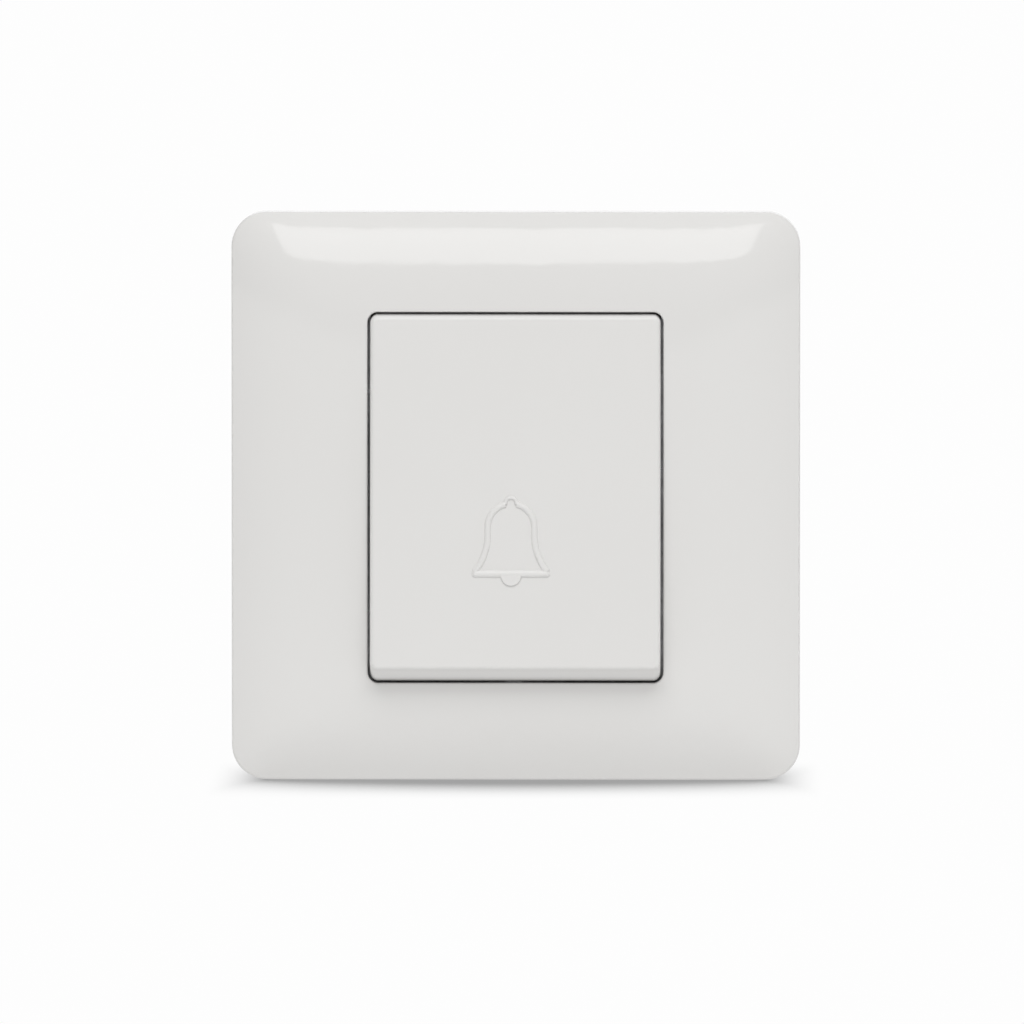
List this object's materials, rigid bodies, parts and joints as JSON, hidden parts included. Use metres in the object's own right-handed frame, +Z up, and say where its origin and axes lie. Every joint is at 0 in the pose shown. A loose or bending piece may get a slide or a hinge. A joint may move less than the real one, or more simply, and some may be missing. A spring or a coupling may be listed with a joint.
{
  "type": "flush door bell push button",
  "caption": "Square flush wall push button for a door bell, with a cushion-shaped cover frame, a sprung rocker key with a raised bell outline, and a strap-mounted contact insert with spreading claws.",
  "frame": {"origin": "centre of the cover frame on the wall plane, midway between the box screw slots", "axes": "+X to the right seen from the front, +Y into the wall, +Z up"},
  "size_m": [0.082, 0.0347, 0.082],
  "materials": {
    "frame_white": "glossy white moulding",
    "key_white": "semi-gloss white moulding",
    "cradle_plastic": "natural white moulding",
    "insert_plastic": "light grey moulding",
    "zinc_steel": "zinc plated sheet",
    "spring_steel": "drawn wire",
    "screw_steel": "zinc plated",
    "brass": "machined and stamped",
    "bronze": "rolled strip",
    "silver": "contact silver"
  },
  "bodies": {
    "base": {"cover_frame": "frame_white", "bearing_frame": "insert_plastic", "mounting_strap": "zinc_steel", "mechanism_housing": "insert_plastic", "return_spring": "spring_steel", "fixed_tips": "silver", "contact_strip_left": "brass", "contact_strip_right": "brass", "terminal_block_left": "brass", "terminal_block_right": "brass", "terminal_screws": "screw_steel", "housing_screws": "screw_steel", "claw_pins": "screw_steel", "claw_screws": "screw_steel", "claw_nuts": "screw_steel"},
    "rocker": {"push_key": "key_white", "rocker_cradle": "cradle_plastic"},
    "contact_plunger": {"plunger": "cradle_plastic", "contact_bridge": "bronze", "bridge_tips": "silver"},
    "left_claw": {"claw_left": "zinc_steel"},
    "right_claw": {"claw_right": "zinc_steel"}
  },
  "joints": [
    {"name": "key_rock", "type": "hinge", "parent": "base", "child": "rocker", "pos_m": [0, -0.0032, 0], "axis": [1, 0, 0], "range_deg": [0, 8], "stiffness_Nm_per_rad": 0.3, "springref_deg": -6.88},
    {"name": "plunger_slide", "type": "slide", "parent": "base", "child": "contact_plunger", "axis": [0, 1, 0], "range_m": [0, 0.0014], "deforming": ["return_spring"]},
    {"name": "claw_swing_left", "type": "hinge", "parent": "base", "child": "left_claw", "pos_m": [-0.0204, 0.0026, 0], "axis": [0, 0, 1], "range_deg": [0, 20]},
    {"name": "claw_swing_right", "type": "hinge", "parent": "base", "child": "right_claw", "pos_m": [0.0204, 0.0026, 0], "axis": [0, 0, -1], "range_deg": [0, 20]}
  ],
  "couplings": [
    {"joint": "plunger_slide", "follows": "key_rock", "m_per_rad": 0.0099919}
  ]
}
